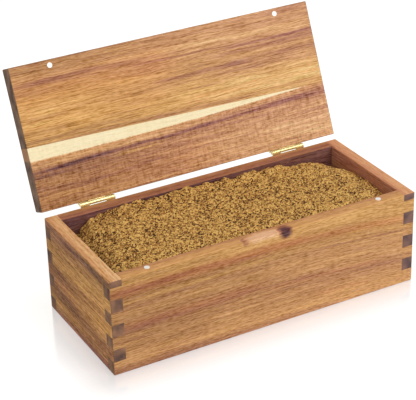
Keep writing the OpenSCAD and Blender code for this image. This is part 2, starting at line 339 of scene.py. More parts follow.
class Wood(Paint):
    """Wood of one board, in millimetres along the grain (u), across the face (v) and into the
    board (w). Bands, streaks and spots give each place a tone and a redness, and fibres, pores
    and ripples vary them finely. Two rows of colours, golden and reddish, then turn tone and
    redness into the wood's colour. Beyond the board's length its fibres show their cut ends."""

    def __init__(self, name, board, look):
        super().__init__(name)
        self.board, self.look = board, look
        self.u, self.v, self.w = (self.along(direction, origin)
                                  for direction, origin in board.axes)
        self.seed = board.seed * 37.0
        self.wander = (self.cloud(90.0, 20.0, 30.0, 3.0) * 2.6
                       + self.cloud(20.0, 3.0, 8.0, 7.0) * 1.5)
        bent_from, bend = board.bow
        turn = (self.u - bent_from).high(0.0)
        self.line = self.v + self.wander + turn * turn * (bend / 1000)

    def cloud(self, long, wide, deep, offset=0.0, detail=2.0, over=None):
        """Noise whose cells are this many millimetres long, wide and deep."""
        scale = self.look.grain_scale
        over = self.v if over is None else over
        return self.noise(self.vector(self.u / (long * scale) + (self.seed + offset),
                                      over / (wide * scale), self.w / (deep * scale)), detail)

    def reach(self, part, outside=0.0):
        """1 from the start to the end of a streak or glow, with a fade at both. The share
        `outside` of the fade lies beyond them."""
        fade = (part.end - part.start) * END_FADE
        return (self.u.rise(part.start - fade * outside, part.start + fade)
                * self.u.rise(part.end + fade * outside, part.end - fade))

    def banded(self):
        """Tone and redness of the bands, blended from the board's near end to its far end."""
        bands = self.board.bands
        low, high = bands[0].across, bands[-1].across
        place = (self.line - low) / (high - low)
        near = self.ramp(place, band_stops(bands, "tone", "red"))
        far = self.ramp(place, band_stops(bands, "far_tone", "far_red"))
        return self.channels(self.mix(self.u.rise(*self.board.blend), near, far))[:2]

    def streaked(self, tone, red):
        """Tone and redness with the streaks, which are stronger in some places than in others."""
        patchy = self.cloud(34.0, 2.0, 4.0, 11.0) * 1.3 + 1.0
        for streak in self.board.streaks:
            line = self.v + self.wander - self.u * streak.slope
            mask = line.hump(streak.across, streak.half) * self.reach(streak, 0.3) * patchy
            tone = tone + mask * streak.tone
            if streak.red:
                red = red + mask * streak.red
        return tone, red

    def warmth(self):
        """How far glows shift the finished colour from blue and green to red."""
        warm = 0.0
        for glow in self.board.glows:
            warm = self.line.hump(glow.across, glow.half) * self.reach(glow) * glow.warm + warm
        return warm

    def walled(self, tone, red, warm, on_rim):
        """What sets a wall apart: its rim, whose outer and inner sides differ, and painted shade on
        its inner face, which darkens and reddens it and dims its figure."""
        rim, (inner_tone, inner_red) = self.board.rim, self.board.inside
        inward = (self.w + self.cloud(30.0, 6.0, 3.0, 47.0) * 2.5).rise(rim.start, rim.end)
        rim_tone = inward * (rim.inner_tone - rim.outer_tone) + rim.outer_tone
        rim_red = inward * (rim.inner_red - rim.outer_red) + (rim.outer_red - GOLDEST)
        tone = tone + (rim_tone - tone) * on_rim
        red = red + (rim_red - red) * on_rim
        warm = on_rim * (rim.warm - warm) + warm
        # Painted shade on the inner face of a wall: darker and redder, with only part of the outer
        # figure.
        inside = at_face(self.w, WALL, INSIDE_DEPTHS) * (1.0 - on_rim)
        figure = tone * INSIDE_FIGURE + (inner_tone - 0.2)
        return tone + (figure - tone) * inside, red + inside * inner_red, warm

    def spotted(self, tone, red):
        """Knots and patches, each an egg shape in the wood with a ragged edge."""
        ragged = self.cloud(5.0, 2.6, 2.6, 17.0, 3.0) * 0.9
        for spot in self.board.spots:
            du, dv, dw = ((self.u - spot.u) / spot.along, (self.v - spot.v) / spot.across,
                          (self.w - spot.w) / spot.deep)
            at = (du * du + dv * dv + dw * dw + ragged).rise(1.2, 0.35)
            tone = tone + (spot.tone - tone) * at
            red = red + (spot.red - GOLDEST - red) * at
        return tone, red

    def fibres(self):
        """Slow changes along the grain, fine ones added to the colour, and their relief."""
        grain = self.board.grain
        wavy = self.line + self.cloud(14.0, 5.0, 6.0, 67.0) * 1.6
        slow = (self.cloud(70.0, 3.0, 5.0, 13.0, 2.0, wavy) * grain.slow
                + self.cloud(46.0, 1.3, 2.2, 19.0, 2.0, wavy) * grain.long)
        line = self.cloud(24.0, 0.64, 1.2, 23.0, 1.0, wavy)
        fleck = self.cloud(4.6, 0.8, 1.2, 29.0, 1.0, wavy)
        ripple = self.cloud(1.3, 6.0, 20.0, 31.0, 1.0) + self.cloud(3.2, 9.0, 20.0, 33.0, 1.0)
        pore = self.cloud(3.5, 0.45, 0.8, 41.0, 1.0).rise(0.1, 0.2)
        fine = line * grain.line + fleck * grain.fleck + ripple * grain.ripple
        fine = (fine - abs(fine) * 0.3 - pore * 0.03 + 0.012) * self.look.contrast
        return slow, fine, line * 0.5 + fleck * 0.4 - pore * 0.6

    def sapped(self, colour, slow):
        """The pale sapwood beside the glue line, behind a narrow seam, and where it lies."""
        sap = self.board.sap
        turn = (self.u - sap.start).high(0.0)
        ragged = self.cloud(9.0, 5.0, 8.0, 59.0) + self.cloud(1.6, 8.0, 9.0, 61.0) * 1.2
        edge = self.v + ragged - turn * turn * sap.bend - sap.across
        colour = self.mix(edge.rise(-3.2, -0.2) * 0.5, colour, stored(SAP_SEAM))
        sapwood = self.mix(slow * 1.5 + 0.35, stored(SAPWOOD), stored(SAPWOOD_DARK))
        pale = edge.rise(-0.6, 0.6)
        return self.mix(pale, colour, sapwood), pale

    def lit(self, colour, fine, warm):
        """Turns evenly graded values into light, after the fine grain and the warmth."""
        parts = [(channel + fine + warm * amount).high(0.02) ** 2.4
                 for channel, amount in zip(self.channels(colour), WARM_SHIFT)]
        return self.node("ShaderNodeCombineColor", None, dict(enumerate(parts)))

    def end_grain(self):
        """Growth rings, open pores and patches where the oil has soaked in."""
        v, w, look = self.v, self.w, self.look
        rings = (self.noise(self.vector(self.seed, (v + w * 0.8) / 1.4, w / 5.0), 3.0) * 0.5
                 + self.noise(self.vector(self.seed, v / 0.5, w / 0.5), 1.0) * 0.5)
        patches = self.noise(self.vector(self.u / 60.0 + self.seed, v / 9.0, w / 7.0), 1.0) * 2.0
        dark, pale = (srgb(text) for text in self.board.ends)
        colour = self.mix(rings + patches + 0.5, dark, pale)
        if self.board.sap:
            colour = self.mix(v.rise(37.0, 39.0) * 0.45, colour, srgb(SAP_END))
        return self.mix(look.end_tint_amount, colour, look.end_grain)


def acacia(name, board, look):
    """The finished wood of one board."""
    wood = Wood(name, board, look)
    tone, red = wood.streaked(*wood.banded())
    warm, calm = wood.warmth(), 1.0
    if board.rim:
        on_rim = at_face(wood.v, HEIGHT, RIM_DEPTHS)
        calm = 1.0 - on_rim * 0.5
        tone, red, warm = wood.walled(tone, red, warm, on_rim)
    tone, red = wood.spotted(tone, red)
    slow, fine, relief = wood.fibres()
    tone = tone + slow * look.contrast * calm
    red = red - slow * 0.8 + wood.cloud(30.0, 1.6, 4.0, 43.0) * 0.8
    fine = fine * calm

    gold, rosy = (wood.ramp(tone, [(at, stored(text)) for at, text in tones])
                  for tones in (GOLD_TONES, RED_TONES))
    colour = wood.mix(red / (REDDEST - GOLDEST), gold, rosy)
    if board.sap:
        colour, pale = wood.sapped(colour, slow)
        fine = fine * (1.0 - pale * 0.75)
    ends = at_face(abs(wood.u), board.half, END_DEPTHS)
    colour = wood.mix(ends, wood.lit(colour, fine, warm), wood.end_grain())
    rough = fine * 0.3 + ends * 0.12 + look.roughness
    return wood.surface(colour, rough, wood.bump(relief, 0.3, 0.12), 0.0,
                        {"Specular IOR Level": WOOD_SHEEN})


# Directions and origins of u, v and w for each board.
X, Y, Z = (1, 0, 0), (0, 1, 0), (0, 0, 1)
MIDDLE = (0, 0, 0)
FRONT_AXES = ((X, MIDDLE), (Z, MIDDLE), (Y, (0, -HALF_WIDTH, 0)))
BACK_AXES = ((X, MIDDLE), (Z, MIDDLE), ((0, -1, 0), (0, HALF_WIDTH, 0)))
LEFT_AXES = ((Y, MIDDLE), (Z, MIDDLE), (X, (-HALF_LENGTH, 0, 0)))
RIGHT_AXES = ((Y, MIDDLE), (Z, MIDDLE), ((-1, 0, 0), (HALF_LENGTH, 0, 0)))
BOTTOM_AXES = ((X, MIDDLE), (Y, MIDDLE), (Z, MIDDLE))
SWING_COS, SWING_SIN = math.cos(OPEN_ANGLE), math.sin(OPEN_ANGLE)


def opened(y, z):
    """Where a point of the closed lid is when the lid stands open."""
    dy, dz = y - PIN[1], z - PIN[2]
    return (0.0, float(PIN[1] + dy * SWING_COS + dz * SWING_SIN),
            float(PIN[2] - dy * SWING_SIN + dz * SWING_COS))


LID_FOOT = opened(HALF_WIDTH, HEIGHT + LID_GAP)
LID_AXES = ((X, MIDDLE), ((0, -SWING_COS, SWING_SIN), LID_FOOT),
            ((0, SWING_SIN, SWING_COS), LID_FOOT))
LID_HALF_LENGTH = HALF_LENGTH + 0.5

PLAIN_GRAIN = Grain(0.2, 0.34, 0.4, 0.26, 0.02)
BOARDS = {
    "front_board": Board(
        axes=FRONT_AXES, blend=(-110, 110), bow=(5, 0.6),
        bands=[Band(-2, 0.48, 0.6, 0.73, 0.9), Band(3, 0.48, 0.5, 0.76, 0.45),
               Band(7, 0.66, 0.3, 0.77, 0.35), Band(11, 0.69, 0.3, 0.76, 0.35),
               Band(18.5, 0.56, 0.22, 0.7, 0.38), Band(21.5, 0.64, 0.25, 0.68, 0.5),
               Band(27.5, 0.56, 0.22, 0.64, 0.5), Band(34, 0.49, 0.4, 0.7, 0.4),
               Band(41, 0.56, 0.2, 0.73, 0.35), Band(47.5, 0.64, 0.18, 0.69, 0.42),
               Band(52, 0.54, 0.35, 0.66, 0.35), Band(55.5, 0.62, 0.05, 0.7, 0.2),
               Band(59, 0.51, 0.12, 0.65, 0.06), Band(64, 0.48, 0.18, 0.66, 0.08),
               Band(69, 0.66, -0.05, 0.73, 0.0), Band(77, 0.64, 0.0, 0.76, 0.0)],
        streaks=[Streak(33.7, 0.0, 1.8, -128, 15, -0.05, 0.12),
                 Streak(35.0, -0.13, 3.4, 12, 128, -0.09, 0.15),
                 Streak(36.5, 0.0, 2.2, 15, 85, 0.07, -0.05),
                 Streak(21.2, 0.0, 1.6, -55, 85, 0.08, 0.05),
                 Streak(8.3, 0.0, 1.2, -122, 0, 0.09, 0.0),
                 Streak(53.5, -0.06, 1.0, 15, 128, -0.09, 0.1),
                 Streak(52.0, -0.06, 1.2, 30, 128, 0.06, 0.0),
                 Streak(55.3, 0.0, 1.3, -70, 0, 0.06, -0.1),
                 Streak(70.5, 0.0, 5.5, -45, 95, 0.1, 0.0),
                 Streak(41.5, 0.0, 1.4, -105, -55, -0.05, 0.15),
                 Streak(64.5, 0.0, 3.0, -128, -60, -0.04, 0.05)],
        glows=[Glow(64.0, 6.5, -150, 40, 0.9), Glow(62.5, 5.5, 0, 150, 0.7),
               Glow(36.0, 6.5, -130, 5, 0.5), Glow(31.0, 3.0, -10, 110, 0.35),
               Glow(15.0, 3.0, 35, 90, 0.4)],
        spots=[Spot(-18.5, 74.5, 2.0, 3.2, 4.0, 4.0, 0.56, 0.75),
               Spot(-3.5, 75.0, 2.2, 16.0, 4.6, 6.0, 0.97, 1.0),
               Spot(-3.0, 72.0, 0.5, 9.0, 1.0, 1.5, 0.86, 0.1),
               Spot(14.0, 73.5, 2.2, 6.6, 6.6, 5.2, 0.4, 0.7),
               Spot(14.0, 73.5, 1.4, 4.2, 5.0, 3.8, 0.14, 0.9)],
        rim=Rim(0.78, 0.05, 0.66, 0.45, 4.5, 8.5, 0.35), inside=(0.5, 0.3), half=HALF_LENGTH,
        ends=("5c4238", "a07a5c"), grain=Grain(0.24, 0.28, 0.3, 0.36, 0.02), seed=1),
    "back_board": Board(
        axes=BACK_AXES, blend=(-110, 110), bow=(0, 0.1),
        bands=[Band(-2, 0.5, 0.5, 0.52, 0.4), Band(10, 0.62, 0.2, 0.66, 0.2),
               Band(22, 0.48, 0.5, 0.56, 0.4), Band(31, 0.6, 0.1, 0.7, 0.0),
               Band(40, 0.66, 0.0, 0.6, 0.3), Band(50, 0.52, 0.4, 0.5, 0.5),
               Band(58, 0.6, 0.2, 0.66, 0.1), Band(69, 0.5, 0.4, 0.58, 0.3),
               Band(77, 0.46, 0.5, 0.56, 0.3)],
        streaks=[Streak(18.0, 0.03, 2.6, -120, 60, -0.12, 0.3),
                 Streak(33.0, 0.02, 1.6, -40, 120, 0.08, -0.2),
                 Streak(46.0, -0.02, 2.2, -120, 30, -0.1, 0.3),
                 Streak(62.0, 0.01, 2.6, -20, 125, -0.1, 0.3)],
        glows=[Glow(45.0, 30.0, -140, 140, 0.5)],
        rim=Rim(0.62, 0.25, 0.48, 0.5, 2.0, 6.0, 0.5), inside=(0.29, 0.5), half=HALF_LENGTH,
        ends=("54423c", "86644e"), grain=PLAIN_GRAIN, seed=2),
    "left_board": Board(
        axes=LEFT_AXES, blend=(-40, 32), bow=(0, 0.0),
        bands=[Band(-1, 0.34, 0.9, 0.52, 1.0), Band(3.5, 0.38, 0.7, 0.42, 0.4),
               Band(7, 0.54, 0.0, 0.52, -0.2), Band(11, 0.53, 0.0, 0.54, -0.3),
               Band(16.5, 0.42, 0.0, 0.4, -0.2), Band(21, 0.54, -0.1, 0.31, -0.2),
               Band(25, 0.7, -0.2, 0.4, 0.0), Band(28.5, 0.68, -0.4, 0.58, 0.0),
               Band(31.5, 0.7, -0.5, 0.46, 0.0), Band(35, 0.78, -0.5, 0.33, -0.15),
               Band(40, 0.62, -0.3, 0.36, -0.15), Band(43, 0.58, -0.3, 0.52, -0.3),
               Band(48, 0.76, -0.35, 0.64, -0.45), Band(57, 0.71, -0.5, 0.55, -0.35),
               Band(62, 0.62, -0.3, 0.48, -0.1), Band(68, 0.42, -0.25, 0.5, 0.1),
               Band(71, 0.3, -0.15, 0.38, 0.3), Band(76, 0.4, 0.0, 0.46, 0.3)],
        streaks=[Streak(19.3, 0.0, 2.4, 0, 22, -0.1, -0.1),
                 Streak(47.0, 0.05, 3.5, -30, 12, 0.07, -0.1),
                 Streak(29.2, 0.0, 1.2, -25, 40, 0.08, 0.0),
                 Streak(45.0, -0.02, 1.0, -42, -12, -0.14, 0.1),
                 Streak(36.0, 0.12, 3.0, -2, 50, -0.06, 0.0),
                 Streak(54.5, 0.03, 1.0, -40, 40, -0.06, 0.0),
                 Streak(64.5, 0.04, 1.0, -40, 50, -0.09, 0.1),
                 Streak(31.0, -0.03, 0.8, -48, 45, 0.16, -0.3),
                 Streak(38.5, -0.02, 0.7, -45, 20, 0.13, -0.3),
                 Streak(26.0, -0.04, 0.7, -48, 10, 0.13, -0.2),
                 Streak(69.5, 0.0, 2.0, -52, 30, -0.12, 0.4)],
        glows=[Glow(36.0, 60.0, -90, 80, 0.55)],
        rim=Rim(0.76, 0.4, 0.92, 0.35, 1.5, 4.5, 0.4), inside=(0.42, 0.35), half=HALF_WIDTH,
        ends=("584540", "a0765c"), grain=Grain(0.34, 0.52, 0.56, 0.44, 0.02), seed=3),
    "right_board": Board(
        axes=RIGHT_AXES, blend=(-50, 50), bow=(0, 0.3),
        bands=[Band(-2, 0.62, 0.4, 0.56, 0.5), Band(9, 0.7, 0.2, 0.6, 0.4),
               Band(20, 0.52, 0.6, 0.48, 0.7), Band(28, 0.66, 0.3, 0.6, 0.4),
               Band(39, 0.76, 0.0, 0.68, 0.2), Band(49, 0.58, 0.4, 0.5, 0.6),
               Band(58, 0.7, 0.2, 0.66, 0.3), Band(68, 0.6, 0.5, 0.56, 0.6),
               Band(77, 0.68, 0.6, 0.62, 0.8)],
        streaks=[Streak(16.0, 0.03, 2.6, -50, 20, -0.12, 0.3),
                 Streak(45.0, -0.03, 2.2, -20, 60, -0.1, 0.3)],
        glows=[Glow(45.0, 40.0, -90, 90, 0.5)],
        rim=Rim(0.84, 0.6, 0.74, 0.8, 4.5, 8.5, 0.7), inside=(0.58, 0.3), half=HALF_WIDTH,
        ends=("5a4a4c", "8e6c60"), grain=PLAIN_GRAIN, seed=4),
    "bottom_panel": Board(
        axes=BOTTOM_AXES, blend=(-110, 110), bow=(0, 0.1),
        bands=[Band(-54, 0.64, 0.3, 0.6, 0.4), Band(-38, 0.54, 0.5, 0.62, 0.3),
               Band(-20, 0.7, 0.1, 0.66, 0.3), Band(-6, 0.6, 0.4, 0.54, 0.5),
               Band(9, 0.72, 0.0, 0.7, 0.2), Band(24, 0.58, 0.4, 0.64, 0.3),
               Band(38, 0.5, 0.6, 0.56, 0.5), Band(54, 0.64, 0.3, 0.68, 0.2)],
        streaks=[Streak(-22.0, 0.02, 3.0, -120, 70, -0.12, 0.3),
                 Streak(14.0, -0.02, 3.0, -60, 120, -0.1, 0.3)],
        half=HALF_LENGTH, ends=("5e4a42", "a57a5c"), grain=PLAIN_GRAIN, seed=5),
    "lid_front_board": Board(
        axes=LID_AXES, blend=(-100, 100), bow=(0, 0.0),
        bands=[Band(38, 0.72, 0.2, 0.84, 0.2), Band(47.5, 0.7, 0.1, 0.84, 0.2),
               Band(51, 0.7, -0.05, 0.95, -0.1), Band(56, 0.76, -0.2, 0.93, -0.05),
               Band(62, 0.82, -0.3, 0.84, 0.3), Band(66, 0.8, -0.25, 0.74, 0.6),
               Band(72, 0.81, -0.15, 0.66, 0.7), Band(77, 0.79, -0.25, 0.74, 0.6),
               Band(81, 0.74, -0.2, 0.66, 0.85), Band(87, 0.67, 0.1, 0.76, 0.75),
               Band(91.5, 0.62, 0.35, 0.86, 0.6), Band(95.5, 0.74, 0.3, 0.79, 0.75),
               Band(98.5, 0.66, 0.25, 0.73, 0.75), Band(102, 0.62, 0.3, 0.74, 0.85),
               Band(110, 0.62, 0.5, 0.77, 0.95)],
        streaks=[Streak(91.0, -0.015, 2.8, -124, -22, -0.15, 0.25),
                 Streak(87.5, -0.02, 1.5, -35, 38, -0.13, 0.3),
                 Streak(93.0, 0.0, 2.2, -22, 60, 0.12, 0.0),
                 Streak(85.2, 0.0, 2.2, 40, 140, -0.15, 0.3),
                 Streak(81.5, 0.0, 1.4, 30, 118, -0.1, 0.1),
                 Streak(71.7, 0.0, 2.8, -20, 72, -0.17, 0.4),
                 Streak(67.0, 0.0, 1.5, 36, 78, -0.08, 0.2),
                 Streak(72.8, 0.0, 1.4, 86, 140, -0.07, 0.1),
                 Streak(78.0, 0.0, 1.6, 45, 85, 0.1, -0.1),
                 Streak(60.8, 0.0, 1.0, 0, 42, -0.11, 0.3),
                 Streak(57.5, 0.0, 4.0, -140, -84, -0.16, 0.15),
                 Streak(51.0, 0.0, 2.2, -140, -62, -0.07, 0.1),
                 Streak(46.6, -0.0227, 2.4, -100, 75, -0.13, 0.25),
                 Streak(76.5, 0.015, 0.9, -120, -45, -0.06, 0.1),
                 Streak(67.5, 0.01, 0.8, -115, -20, -0.06, 0.1)],
        glows=[Glow(84.0, 22.0, -170, 20, 0.6), Glow(62.0, 14.0, -160, 10, 0.35),
               Glow(53.0, 4.0, -10, 150, 0.5)],
        half=LID_HALF_LENGTH, ends=("5a463c", "8e7460"),
        grain=Grain(0.36, 0.36, 0.46, 0.28, 0.01), seed=6),
    "lid_rear_board": Board(
        axes=LID_AXES, blend=(-115, 100), bow=(0, 0.0),
        bands=[Band(-2, 0.56, 0.2, 0.8, 0.75), Band(3, 0.57, 0.2, 0.82, 0.8),
               Band(9, 0.57, 0.2, 0.87, 0.75), Band(15, 0.55, 0.3, 0.87, 0.85),
               Band(20, 0.53, 0.35, 0.81, 0.95), Band(25, 0.47, 0.45, 0.8, 0.9),
               Band(29, 0.52, 0.5, 0.76, 0.9), Band(34, 0.74, 0.45, 0.68, 0.95),
               Band(36.5, 0.8, 0.4, 0.72, 0.9), Band(50, 0.8, 0.4, 0.76, 0.8)],
        streaks=[Streak(32.4, 0.03, 2.8, -145, 145, -0.2, 0.3),
                 Streak(31.4, 0.015, 2.0, -112, 0, -0.08, 0.1),
                 Streak(17.5, 0.05, 1.8, -96, -22, -0.12, 0.25),
                 Streak(12.0, 0.0, 2.4, -145, -96, -0.1, 0.0),
                 Streak(27.3, 0.0, 1.4, -62, -18, 0.09, -0.35),
                 Streak(9.5, 0.01, 1.2, -60, 60, -0.05, 0.1)],
        glows=[Glow(10.0, 24.0, -160, 40, 0.3)],
        sap=Sapwood(37.15, -90.0, 0.000125), half=LID_HALF_LENGTH, ends=("5a463c", "8e7460"),
        grain=Grain(0.5, 0.46, 0.32, 0.36, 0.18), seed=7),
}


def dress(node, material):
    """Puts a material in every slot of a CAD node."""
    mesh = NODES[node].data
    if not mesh.materials:
        mesh.materials.append(material)
    for index in range(len(mesh.materials)):
        mesh.materials[index] = material


TARNISHED, WORN, SCUFFED = srgb("cbae66"), srgb("a9853f"), srgb("f1ece0")


def brass(look):
    """Rolled brass: fine drawn lines along the hinge, a little tarnish, and small scratches."""
    paint = Paint("hinge_brass")
    x, y, z = (paint.along(axis) for axis in (X, Y, Z))
    drawn = paint.noise(paint.vector(x / 9.0, y / 0.25, z / 0.25), 2.0)
    tarnish = paint.noise(paint.vector(x / 5.0, y / 3.0, z / 3.0), 3.0)
    colour = paint.mix(tarnish * 1.2 + 0.4, look.brass, TARNISHED)
    rough = drawn * 0.12 + tarnish * 0.2 + look.brass_roughness
    return paint.surface(colour, rough, paint.bump(drawn, 0.2, 0.05), 0.7)


def screw_metal(look):
    """Turned brass heads, a shade darker than the leaves."""
    paint = Paint("screw_brass")
    worn = paint.noise(paint.in_cells(0.6), 3.0)
    colour = paint.mix(worn + 0.5, look.brass, WORN)
    return paint.surface(colour, worn * 0.25 + (look.brass_roughness + 0.08),
                         paint.bump(worn, 0.25, 0.04), 1.0)


def plating(look):
    """Bright nickel on the magnets, with a haze of fine scuffs."""
    paint = Paint("magnet_plating")
    scuff = paint.noise(paint.in_cells(0.5), 3.0)
    colour = paint.mix(scuff + 0.4, look.plating, SCUFFED)
    return paint.surface(colour, scuff * 0.2 + 0.34, paint.bump(scuff, 0.15, 0.02), 0.05)


# The random grids of the heap cover a square of this side, in millimetres.
FIELD = 300


def smooth_noise(x, y, cell, seed):
    """Random heights on the corners of square cells, blended between them with a smooth step."""
    random = np.random.default_rng(seed)
    grid = random.uniform(-1, 1, (int(FIELD / cell) + 4, int(FIELD / cell) + 4))
    gx, gy = (x + FIELD / 2) / cell, (y + FIELD / 2) / cell
    ix, iy = gx.astype(int), gy.astype(int)
    fx, fy = gx - ix, gy - iy
    fx, fy = fx * fx * (3 - 2 * fx), fy * fy * (3 - 2 * fy)
    near = grid[ix, iy] * (1 - fx) + grid[ix + 1, iy] * fx
    far = grid[ix, iy + 1] * (1 - fx) + grid[ix + 1, iy + 1] * fx
    return near * (1 - fy) + far * fy


def grains(x, y, cell, seed):
    """Rounded grains: one random point in each square cell carries a dome of random size and
    height, and the highest dome over a place is its height there."""
    random = np.random.default_rng(seed)
    count = int(FIELD / cell) + 6
    px, py = random.uniform(0.1, 0.9, (2, count, count))
    size = random.uniform(0.55, 1.1, (count, count)) * cell
    top = random.uniform(0.35, 1.0, (count, count))
    gx, gy = (x + FIELD / 2) / cell + 2, (y + FIELD / 2) / cell + 2
    ix, iy = gx.astype(int), gy.astype(int)
    height = np.zeros_like(x)
    for sx in (-1, 0, 1):
        for sy in (-1, 0, 1):
            cx, cy = ix + sx, iy + sy
            far = np.hypot(cx + px[cx, cy] - gx, cy + py[cx, cy] - gy) * cell
            dome = np.sqrt(np.clip(1 - (far / size[cx, cy]) ** 2, 0, 1)) * top[cx, cy]
            height = np.maximum(height, dome)
    return height


def past(distance):
    """The distance beyond a line, and 0 before it."""
    return np.clip(distance, 0, None)


def share(amount):
    """The amount, kept between 0 and 1."""
    return np.clip(amount, 0, 1)


def bell(*distances):
    """1 in the middle and a soft fall around it, with distances counted in its own widths."""
    return np.exp(-sum(distance ** 2 for distance in distances))


# The heap's form in millimetres: x runs along the box from its middle, y towards the hinges.
# A fall is the slope down from a line, and a skew is how far that line slants with y.
BELOW_BRIM, SOFT_TOP = 1.1, 0.8
CREST_X, CREST_Y, CREST_FALL = [-116, -60, 30, 60, 92, 116], [34, 41, 41, 34, 24, 12], 0.5
VALLEY_X, VALLEY_DEPTH = [-35, -5, 35, 70, 90], [0, 2.6, 3.2, 1.6, 0]
VALLEY_Y, VALLEY_WIDTH = 30.5, 4.5
DIP_X, DIP_WIDTH, DIP_Y, DIP_FADE, DIP_DEPTH = 27, 11, 30, 10, 2.0
LEFT_X, LEFT_SKEW, LEFT_FALL, LEFT_CURVE = -88, 0.12, 0.26, 0.012
KNOB_X, KNOB_LENGTH, KNOB_Y, KNOB_WIDTH, KNOB_HEIGHT = -97, 5, 29, 9, 3.5
CORNER_X, CORNER_LENGTH, CORNER_Y, CORNER_WIDTH, CORNER_DEPTH = -116, 26, -46, 18, 7
RIGHT_X, RIGHT_SKEW, RIGHT_FALL = 90, 0.05, 0.36
FRONT_END_X, FRONT_END_Y, FRONT_END_FADE, FRONT_END_FALL = 97, -20, 20, 0.25
# Distances between the clumps, and between the finer grains as a share of the others'.
WIDE_CLUMP, SMALL_CLUMP, ROUND_CLUMP = 9.0, 4.2, 5.5
FINER_GRAIN = 0.62


def heap_level(x, y, brim):
    """The heap without its grains."""
    level = np.full_like(x, brim - BELOW_BRIM)
    level -= past(y - np.interp(x, CREST_X, CREST_Y)) * CREST_FALL
    level -= bell((y - VALLEY_Y) / VALLEY_WIDTH) * np.interp(x, VALLEY_X, VALLEY_DEPTH)
    # A dip in the back crest, right of the middle.
    level -= bell((x - DIP_X) / DIP_WIDTH) * share((y - DIP_Y) / DIP_FADE) * DIP_DEPTH
    # The left end falls away faster and faster, apart from a knob at its back.
    left = past(LEFT_X - x + np.clip(y, -20, 40) * LEFT_SKEW)
    level -= left * LEFT_FALL + left ** 2 * LEFT_CURVE
    level += bell((x - KNOB_X) / KNOB_LENGTH, (y - KNOB_Y) / KNOB_WIDTH) * KNOB_HEIGHT
    # The front left corner is lower.
    from_corner = np.hypot((x - CORNER_X) / CORNER_LENGTH, (y - CORNER_Y) / CORNER_WIDTH)
    level -= share(1 - from_corner) * CORNER_DEPTH
    # The right end is an even slope, steeper at the front.
    level -= past(x - (RIGHT_X - np.clip(-y - 10, 0, 40) * RIGHT_SKEW)) * RIGHT_FALL
    at_front = share((FRONT_END_Y - y) / FRONT_END_FADE)
    level -= past(x - FRONT_END_X) * at_front * FRONT_END_FALL
    return level


def spice_surface(look):
    """The heap's top as a height over each place of the compartment: its form, then clumps, and
    grains on all of it. No place is above the brim. The last value says how high each place
    stands among its grains; the paint turns it into painted shade low down and painted light high
    up."""
    half_x = HALF_LENGTH - WALL - look.gap / MM
    half_y = HALF_WIDTH - WALL - look.gap / MM
    step = look.step / MM
    xs = np.linspace(-half_x, half_x, int(2 * half_x / step))
    ys = np.linspace(-half_y, half_y, int(2 * half_y / step))
    x, y = np.meshgrid(xs, ys, indexing="ij")
    brim = look.brim / MM
    # Clumps are rough at the back and at the left end.
    rough = np.clip((y - 16) / 14, 0.55, 1.45) + share((-70 - x) / 40) * 0.4
    clump = (smooth_noise(x, y, WIDE_CLUMP, 11) * 1.1 * rough
             + smooth_noise(x, y, SMALL_CLUMP, 12) * 0.9 * rough)
    clump += (grains(x, y, ROUND_CLUMP, 13) * 1.5 - 0.8) * rough
    fine = grains(x, y, look.grain / MM, 14) * 1.25 - 0.8
    finer = grains(x, y, look.grain / MM * FINER_GRAIN, 15) * 0.5 - 0.3
    height = heap_level(x, y, brim) + clump + fine + finer
    start = brim - SOFT_TOP
    rounded = brim - SOFT_TOP * np.exp(-(height - brim + SOFT_TOP) / SOFT_TOP)
    height = np.where(height > start, rounded, height)
    return x, y, np.minimum(height, brim), fine + finer + clump * 0.25


def add_mesh(name, points, faces, material):
    """A new object from points and faces, with one material."""
    mesh = bpy.data.meshes.new(name)
    mesh.from_pydata(np.asarray(points).tolist(), [], faces)
    mesh.validate()
    mesh.materials.append(material)
    made = bpy.data.objects.new(name, mesh)
    bpy.context.scene.collection.objects.link(made)
    return made


def closed_heap(x, y, z, floor):
    """Points and faces of a height field closed by upright sides and a flat underside."""
    rows, columns = x.shape
    index = np.arange(rows * columns).reshape(rows, columns)
    quads = np.stack([index[:-1, :-1], index[1:, :-1], index[1:, 1:], index[:-1, 1:]], -1)
    edge = np.concatenate([index[:-1, 0], index[-1, :-1], index[:0:-1, -1], index[0, :0:-1]])
    top = np.stack([x, y, z], -1).reshape(-1, 3)
    foot = top[edge].copy()
    foot[:, 2] = floor
    low = rows * columns + np.arange(len(edge))
    after = np.roll(np.arange(len(edge)), -1)
    sides = np.stack([edge, low, low[after], edge[after]], -1)
    faces = quads.reshape(-1, 4).tolist() + sides.tolist() + [low[::-1].tolist()]
    return np.concatenate([top, foot]) * MM, faces


# Ramp colours between the pits, the main colour and the specks: the dark one is mostly painted
# shade, the light one partly painted light on the highest grains.
SPICE_SHADE, SPICE_LIGHT = srgb("5f3a1a"), srgb("c99048")
SPICE_SHEEN = 0.25


